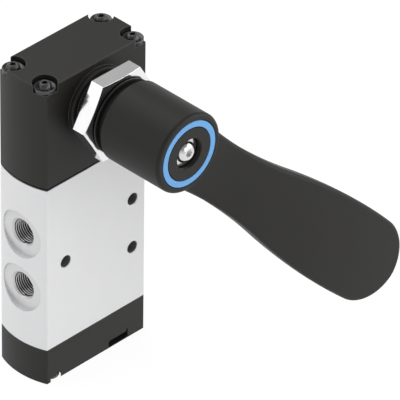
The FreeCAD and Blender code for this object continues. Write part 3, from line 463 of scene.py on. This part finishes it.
def new_finish(name, dark, light, rough, metallic=0.0, grains=2500.0, clouds=60.0, bump=0.1,
               edge_radius=0.0002, edge_highlight_colour=None, drawn=None, specular=None, cuts=(), thread=None):
    """A material with a pattern and soft edges, kept in finishes under its name.

    Its colour runs from dark to light and its roughness between the two values of rough. The
    pattern is a grain, or lines where drawn gives their number and stretch. Each of the cuts
    is a block with its own colour and roughness, and thread paints shade on the metal from a
    thread's crest towards its root. An edge colour is mixed in as a painted highlight along the
    edges, strongest where they face up.
    """
    look = bpy.data.materials.new(name)
    look.use_nodes = True
    tree = look.node_tree
    shader = tree.nodes["Principled BSDF"]
    shader.inputs["Metallic"].default_value = metallic
    if specular is not None:
        shader.inputs["Specular IOR Level"].default_value = specular
    if drawn:
        pattern = group_node(tree, lines, Lines_per_metre=drawn[0], Stretch=drawn[1])
        tones = pattern.outputs["Streaks"]
    else:
        pattern = group_node(tree, grain, Grains_per_metre=grains, Clouds_per_metre=clouds)
        tones = pattern.outputs["Clouds"]
    colour = colour_mix(tree, tones, dark, light)
    roughness = tone_between(tree, tones, *rough)
    for cut in cuts:
        block = group_node(tree, inside, Middle=cut["middle"], Reach=cut["reach"]).outputs["Inside"]
        colour = colour_mix(tree, block, colour, cut["colour"])
        roughness = value_mix(tree, block, roughness, cut["rough"])
    if thread:
        sunk = group_node(tree, depths, Crest_radius=thread["crest"], Root_radius=thread["root"])
        colour = colour_mix(tree, sunk.outputs["Depth"], colour, thread["colour"])
    soft = group_node(tree, edges, Radius=edge_radius)
    # Painted highlight along the edges, lighter where they face up.
    if edge_highlight_colour:
        colour = colour_mix(tree, soft.outputs["Edge"], colour, edge_highlight_colour)
    tree.links.new(colour, shader.inputs["Base Color"])
    tree.links.new(roughness, shader.inputs["Roughness"])
    relief = tree.nodes.new("ShaderNodeBump")
    relief.inputs["Strength"].default_value = bump
    relief.inputs["Distance"].default_value = BUMP_HEIGHT
    tree.links.new(pattern.outputs["Height"], relief.inputs["Height"])
    tree.links.new(soft.outputs["Normal"], relief.inputs["Normal"])
    tree.links.new(relief.outputs["Normal"], shader.inputs["Normal"])
    finishes[name] = look


# %% Finishes of the housings
# Painted shade: every surface inside the outer faces of the body, the walls of the ports, holes and bores,
# gets a dark grey colour.
BORE_PAINTED_SHADE = {"middle": (0.0, MIDDLE_Y, 0.0), "reach": (22.4 * MM, 10.95 * MM, 34.0 * MM),
               "colour": (0.26, 0.26, 0.265), "rough": 0.38}
SPOT_FACED_METAL = {"middle": (-23.2 * MM, MIDDLE_Y, 0.0), "reach": (0.65 * MM, 8.5 * MM, 30.0 * MM),
                    "colour": (0.66, 0.66, 0.665), "rough": 0.42}
# Painted shade in the roots of the port threads.
THREAD_SHADE = {"crest": 4.13 * MM, "root": 4.34 * MM, "colour": (0.035, 0.035, 0.035)}

# The lighter edge colours of the aluminium and the black plastic are painted highlights along the edges.
new_finish("anodised_aluminium", (0.73, 0.73, 0.735), (0.76, 0.76, 0.765), (0.47, 0.53), metallic=0.5,
           grains=2600.0, clouds=90.0, bump=0.06, edge_radius=0.0002, edge_highlight_colour=(0.82, 0.82, 0.825),
           cuts=(BORE_PAINTED_SHADE, SPOT_FACED_METAL))
new_finish("tapped_threads", (0.74, 0.74, 0.75), (0.80, 0.80, 0.81), (0.24, 0.32), metallic=0.8,
           grains=2600.0, clouds=300.0, bump=0.05, edge_radius=0.00005, thread=THREAD_SHADE)
new_finish("black_plastic", (0.0138, 0.0129, 0.0118), (0.0178, 0.0168, 0.0155), (0.46, 0.54), specular=0.27,
           grains=3500.0, clouds=45.0, bump=0.25, edge_radius=0.00038, edge_highlight_colour=(0.10, 0.096, 0.09))
# Painted shade: the lever's finish is a copy of the black plastic, a little darker in colour, with a weaker
# sheen and no edge highlight.
new_finish("lever_plastic", (0.0132, 0.0124, 0.0114), (0.0168, 0.0158, 0.0146), (0.46, 0.54), specular=0.22,
           grains=3500.0, clouds=45.0, bump=0.25, edge_radius=0.0003)
new_finish("blue_marking", (0.104, 0.312, 0.622), (0.12, 0.335, 0.655), (0.40, 0.48),
           grains=3500.0, clouds=90.0, bump=0.15, edge_radius=0.0001)
print("finishes:", list(finishes))

# %% Finishes of the fasteners and the inside
# The lighter edge colour of the dark steel is a painted highlight along the edges.
new_finish("dark_steel", (0.05, 0.05, 0.05), (0.09, 0.09, 0.09), (0.28, 0.40), metallic=0.8,
           grains=4000.0, clouds=400.0, bump=0.1, edge_radius=0.00018, edge_highlight_colour=(0.3, 0.3, 0.3))
new_finish("plated_nut", (0.80, 0.80, 0.81), (0.88, 0.88, 0.89), (0.07, 0.14), metallic=1.0,
           grains=900.0, clouds=120.0, bump=0.03, edge_radius=0.00025)
new_finish("bright_steel", (0.62, 0.62, 0.62), (0.80, 0.80, 0.80), (0.12, 0.22), metallic=1.0,
           grains=1500.0, clouds=300.0, bump=0.05, edge_radius=0.0001)
new_finish("guide_plastic", (0.70, 0.68, 0.61), (0.77, 0.75, 0.68), (0.40, 0.50),
           grains=3000.0, clouds=80.0, bump=0.2, edge_radius=0.0002)
new_finish("seal_rubber", (0.022, 0.022, 0.022), (0.035, 0.035, 0.035), (0.50, 0.65),
           grains=5000.0, clouds=200.0, bump=0.2, edge_radius=0.0001)
# Painted shade: the gasket is coloured darker than the black plastic, for the shadow in the seam under the
# head.
new_finish("gasket_rubber", (0.003, 0.003, 0.003), (0.005, 0.005, 0.005), (0.75, 0.85), specular=0.1,
           grains=5000.0, clouds=200.0, bump=0.1, edge_radius=0.00005)
new_finish("spool_aluminium", (0.62, 0.63, 0.65), (0.72, 0.73, 0.75), (0.22, 0.30), metallic=1.0,
           drawn=(3500.0, (0.05, 0.05, 1.0)), bump=0.08, edge_radius=0.0001)
new_finish("spring_steel", (0.34, 0.34, 0.35), (0.46, 0.46, 0.47), (0.25, 0.35), metallic=1.0,
           grains=3000.0, clouds=500.0, bump=0.1, edge_radius=0.0001)
new_finish("bush_brass", (0.50, 0.35, 0.14), (0.66, 0.48, 0.22), (0.35, 0.50), metallic=1.0,
           grains=6000.0, clouds=900.0, bump=0.3, edge_radius=0.0001)
print("finishes:", len(finishes))

# %% [markdown]
# ## Dressing the solids
#
# The record says which finish each solid is made with, and only the lever has one of its own: a copy of the
# black plastic with a weaker sheen, whose slightly darker colour is painted shade.
# The imported solids keep their meshes; only the material in their slots is exchanged. Their
# flat faces are already flat and their round faces are finely divided, so they need no
# smoothing.

# %% Solids
OWN_FINISHES = {"lever": "lever_plastic"}

for part in frame["record"]["subparts"]:
    solid = nodes[part["node"]]
    for slot in solid.material_slots:
        slot.material = finishes[OWN_FINISHES.get(part["node"], part["material_slot"])]
    print(part["node"], "->", part["material_slot"], len(solid.data.polygons), "faces")

# %% [markdown]
# ## The flat right side
#
# On the real valve only the left side bulges; the right side is flat. In the solids of head,
# body and cap both sides bulge. Moving vertices would bend the ports and pockets with them,
# so each of the three is copied, its doubled points are merged and a bisect takes the bulge
# off. The bisect's own cap would also close the ports, so the open rim is selected and filled
# with triangles, which leaves the holes free. The copies then stand for the solids.

# %% Copies of solids
MERGE_WITHIN = 1e-6
SMOOTH_BELOW = math.radians(32.0)


def work_on(piece):
    """The piece alone is selected and active."""
    deselect_all()
    piece.select_set(True)
    bpy.context.view_layer.objects.active = piece


def new_copy(source, name):
    """A copy of an object with its own mesh."""
    piece = bpy.data.objects.new(name, source.data.copy())
    piece.data.name = name
    scene.collection.objects.link(piece)
    return piece


def merged_copy(node, name):
    """A copy of a solid, with its loose triangles joined where their corners meet."""
    piece = new_copy(nodes[node], name)
    work_on(piece)
    bpy.ops.mesh.customdata_custom_splitnormals_clear()
    bpy.ops.object.mode_set(mode="EDIT")
    bpy.ops.mesh.select_all(action="SELECT")
    bpy.ops.mesh.remove_doubles(threshold=MERGE_WITHIN)
    bpy.ops.object.mode_set(mode="OBJECT")
    return piece


# %% Plane cut
CUT_WITHIN = 1e-6


def cut_away(piece, place, normal):
    """All beyond a plane is cut away, and the open rim is filled, with its holes left free."""
    work_on(piece)
    bpy.ops.object.mode_set(mode="EDIT")
    bpy.ops.mesh.select_all(action="SELECT")
    bpy.ops.mesh.bisect(plane_co=place, plane_no=normal, use_fill=False, clear_outer=True,
                        threshold=CUT_WITHIN)
    bpy.context.tool_settings.mesh_select_mode = (False, True, False)
    bpy.ops.mesh.select_all(action="DESELECT")
    bpy.ops.mesh.select_non_manifold(extend=False, use_wire=False, use_boundary=True,
                                     use_multi_face=False, use_non_contiguous=False, use_verts=False)
    bpy.ops.mesh.fill(use_beauty=True)
    bpy.ops.mesh.select_all(action="SELECT")
    bpy.ops.mesh.normals_make_consistent(inside=False)
    bpy.ops.object.mode_set(mode="OBJECT")
    bpy.ops.object.shade_smooth_by_angle(angle=SMOOTH_BELOW)


# %% Housings with a flat side
RIGHT_SIDES = {"head_housing": 23.1 * MM, "valve_body": 23.0 * MM, "bottom_cap": 23.0 * MM}

for part in frame["record"]["subparts"]:
    if part["node"] in RIGHT_SIDES:
        housing = merged_copy(part["node"], f"{part['node']}_flat_sided")
        cut_away(housing, (RIGHT_SIDES[part["node"]], 0.0, 0.0), (1.0, 0.0, 0.0))
        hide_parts(part["node"])
        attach(housing, "valve")
        print(housing.name, "has", len(housing.data.polygons), "faces")

# %% [markdown]
# ## Gasket under the head
#
# A thin dark line runs between head and body: the edge of a flat rubber gasket, coloured
# darker than the black plastic as painted shade for the seam. It has the outline and the holes
# of the head, so it isn't drawn anew. The lowest slice of the head is copied and cut off at the
# top, the head loses the same slice, and the outer rim of the gasket is drawn in by a hair's
# breadth, so that it lies in shadow.

# %% Vertex choice


def select_vertices(piece, wanted):
    """In edit mode, exactly the vertices for which the test holds are selected."""
    bpy.ops.object.mode_set(mode="EDIT")
    bpy.context.tool_settings.mesh_select_mode = (True, False, False)
    bpy.ops.mesh.select_all(action="DESELECT")
    bpy.ops.object.mode_set(mode="OBJECT")
    for vertex in piece.data.vertices:
        vertex.select = wanted(vertex.co)
    bpy.ops.object.mode_set(mode="EDIT")


# %% Gasket
GASKET_THICKNESS, GASKET_INSET = 1.0 * MM, 0.04 * MM
HEAD_FOOT = 33.0 * MM
HEAD_LEFT, HEAD_RIGHT = -25.3 * MM, RIGHT_SIDES["head_housing"]
RIM_BEYOND_X, RIM_BEYOND_Y = 22.6 * MM, 10.8 * MM

head = bpy.data.objects["head_housing_flat_sided"]
gasket = new_copy(head, "head_gasket")
gasket_top = (0.0, 0.0, HEAD_FOOT + GASKET_THICKNESS)
cut_away(gasket, gasket_top, (0.0, 0.0, 1.0))
cut_away(head, gasket_top, (0.0, 0.0, -1.0))
work_on(gasket)
select_vertices(gasket, lambda place: abs(place.x) > RIM_BEYOND_X or abs(place.y - MIDDLE_Y) > RIM_BEYOND_Y)
bpy.ops.transform.resize(
    value=(1.0 - 2 * GASKET_INSET / (HEAD_RIGHT - HEAD_LEFT), 1.0 + GASKET_INSET / MIDDLE_Y, 1.0),
    center_override=((HEAD_LEFT + HEAD_RIGHT) / 2, MIDDLE_Y, HEAD_FOOT))
bpy.ops.object.mode_set(mode="OBJECT")
for slot in gasket.material_slots:
    slot.material = finishes["gasket_rubber"]
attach(gasket, "valve")
print("gasket:", len(gasket.data.polygons), "faces")

# %% [markdown]
# ## The return spring
# The coil spring in the cap shortens when the spool comes down on it. The solid is rigid, and
# the seat would cut into its top coil. A copy of it with its doubled points merged and smoothed
# by angle stands for the solid and rides with the valve; it stays rigid too. A copy of it flattens towards
# its foot with the spool
# instead, by the whole range of the spool.

spring = merged_copy("return_spring", "return_spring_coil")
bpy.ops.object.shade_smooth_by_angle(angle=SMOOTH_BELOW)
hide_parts("return_spring")
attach(spring, "valve")
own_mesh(spring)

# %% [markdown]
# ## Threads
#
# The five ports are tapped with a fine pipe thread and the neck carries the thread for the
# panel nut. In the solids both are plain cylinders. A thread could be faked with a bump, but
# its crests catch light and throw small shadows, so it is real geometry: a small tapered bar,
# the section of one tooth, is wound round the axis by a Screw modifier, which gives a true
# helix. Its two ends are then closed.

# %% Thread helpers
TOOTH_FOOT = 0.92
TOOTH_TIP = 0.16


def tooth_coil(name, root_radius, crest_radius, pitch, turns, steps):
    """A coil of one thread tooth round the Z axis, from Z 0 upwards."""
    deselect_all()
    middle, depth = (root_radius + crest_radius) / 2, abs(root_radius - crest_radius)
    bpy.ops.mesh.primitive_plane_add(size=1.0, location=(middle, 0, 0), rotation=(math.pi / 2, 0, 0))
    coil = bpy.context.object
    coil.name = coil.data.name = name
    bpy.ops.object.transform_apply()
    bpy.ops.object.mode_set(mode="EDIT")
    bpy.ops.mesh.select_all(action="SELECT")
    bpy.ops.transform.resize(value=(depth, 1.0, pitch * TOOTH_FOOT), center_override=(middle, 0, 0))
    select_vertices(coil, lambda place: abs(place.x - crest_radius) < depth / 2)
    bpy.ops.transform.resize(value=(1.0, 1.0, TOOTH_TIP), center_override=(crest_radius, 0, 0))
    bpy.ops.object.mode_set(mode="OBJECT")
    wind = coil.modifiers.new("wind", "SCREW")
    wind.axis, wind.screw_offset, wind.iterations = "Z", pitch, turns
    wind.steps = wind.render_steps = steps
    bpy.ops.object.modifier_apply(modifier=wind.name)
    bpy.ops.object.mode_set(mode="EDIT")
    bpy.ops.mesh.select_all(action="SELECT")
    bpy.ops.mesh.remove_doubles(threshold=MERGE_WITHIN)
    bpy.ops.mesh.fill_holes(sides=0)
    bpy.ops.mesh.select_all(action="SELECT")
    bpy.ops.mesh.normals_make_consistent(inside=False)
    bpy.ops.object.mode_set(mode="OBJECT")
    return coil


def place_piece(piece, turn, place):
    """The piece turned about the origin and moved, with its place kept in its mesh."""
    work_on(piece)
    piece.rotation_euler, piece.location = turn, place
    bpy.ops.object.transform_apply()


# %% Port threads
PIPE_PITCH = 0.907 * MM
PIPE_ROOT, PIPE_CREST = 4.62 * MM, 4.12 * MM
PIPE_TURNS, PIPE_STEPS = 8, 40
LEFT_MOUTH, RIGHT_MOUTH = -22.62 * MM, 22.3 * MM
OUTLET_HEIGHTS = (PORT_STEP, -PORT_STEP)
INLET_HEIGHTS = (2 * PORT_STEP, 0.0, -2 * PORT_STEP)

first = tooth_coil("port_thread", PIPE_ROOT, PIPE_CREST, PIPE_PITCH, PIPE_TURNS, PIPE_STEPS)
ports = [(LEFT_MOUTH, height, math.pi / 2) for height in OUTLET_HEIGHTS]
ports += [(RIGHT_MOUTH, height, -math.pi / 2) for height in INLET_HEIGHTS]
for number, (mouth, height, inwards) in enumerate(ports, 1):
    thread = new_copy(first, f"port_thread_{number}")
    place_piece(thread, (0.0, inwards, 0.0), (mouth, MIDDLE_Y, height))
    thread.data.materials.append(finishes["tapped_threads"])
    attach(thread, "valve")
bpy.data.objects.remove(first)
print("port threads:", len(ports), "with", len(thread.data.polygons), "faces each")

# %% Neck thread
NECK_PITCH = 1.5 * MM
NECK_ROOT, NECK_CREST = 10.98 * MM, 11.3 * MM
NECK_TURNS, NECK_STEPS = 2, 96
NECK_START_Y = -25.3 * MM
AXIS_Z = 59.0 * MM

neck_thread = tooth_coil("neck_thread", NECK_ROOT, NECK_CREST, NECK_PITCH, NECK_TURNS, NECK_STEPS)
place_piece(neck_thread, (math.pi / 2, 0.0, 0.0), (0.0, NECK_START_Y, AXIS_Z))
neck_thread.data.materials.append(finishes["black_plastic"])
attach(neck_thread, "valve")
print("neck thread:", [[round(value / MM, 2) for value in corner] for corner in neck_thread.bound_box][::6])

# %% [markdown]
# ## Skirt of the hub
#
# Behind the hub a narrow step shows in the gap to the nut: the hub ends in a skirt of slightly
# smaller radius. A revolved profile would do, but a short cylinder is quicker: both ends are
# inset to the bore, the two inner faces are bridged, and the outer rear edge is bevelled.

# %% Hub skirt
SKIRT_RADIUS, SKIRT_BORE = 13.75 * MM, 11.7 * MM
SKIRT_REAR_Y, SKIRT_FRONT_Y = -34.95 * MM, -35.72 * MM
SKIRT_SIDES = 128
SKIRT_ROUNDING, ROUNDING_STEPS = 0.2 * MM, 3
END_FACING = 0.9
EDGE_WITHIN_Y, EDGE_WITHIN_RADIUS = 0.05 * MM, 0.1 * MM

deselect_all()
bpy.ops.mesh.primitive_cylinder_add(
    vertices=SKIRT_SIDES, radius=SKIRT_RADIUS, depth=SKIRT_REAR_Y - SKIRT_FRONT_Y,
    location=(0.0, (SKIRT_REAR_Y + SKIRT_FRONT_Y) / 2, AXIS_Z), rotation=(math.pi / 2, 0.0, 0.0))
skirt = bpy.context.object
skirt.name = skirt.data.name = "hub_skirt"
bpy.ops.object.transform_apply()
bpy.ops.object.mode_set(mode="EDIT")
bpy.context.tool_settings.mesh_select_mode = (False, False, True)
bpy.ops.mesh.select_all(action="DESELECT")
bpy.ops.object.mode_set(mode="OBJECT")
for face in skirt.data.polygons:
    face.select = abs(face.normal.y) > END_FACING
bpy.ops.object.mode_set(mode="EDIT")
bpy.ops.mesh.inset(thickness=SKIRT_RADIUS - SKIRT_BORE, use_individual=True)
bpy.ops.mesh.bridge_edge_loops()
print("hub skirt: a ring of", SKIRT_SIDES, "sides")

# %% Rounding of the skirt


def on_rear_edge(place):
    """True on the outer edge at the rear of the skirt."""
    out = math.hypot(place.x, place.z - AXIS_Z)
    return place.y > SKIRT_REAR_Y - EDGE_WITHIN_Y and out > SKIRT_RADIUS - EDGE_WITHIN_RADIUS


select_vertices(skirt, on_rear_edge)
bpy.ops.mesh.bevel(offset=SKIRT_ROUNDING, segments=ROUNDING_STEPS, affect="EDGES")
bpy.ops.mesh.select_all(action="SELECT")
bpy.ops.mesh.normals_make_consistent(inside=False)
bpy.ops.object.mode_set(mode="OBJECT")
bpy.ops.object.shade_smooth_by_angle(angle=SMOOTH_BELOW)
skirt.data.materials.append(finishes["lever_plastic"])
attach(skirt, "lever")
print("hub skirt:", len(skirt.data.polygons), "faces")
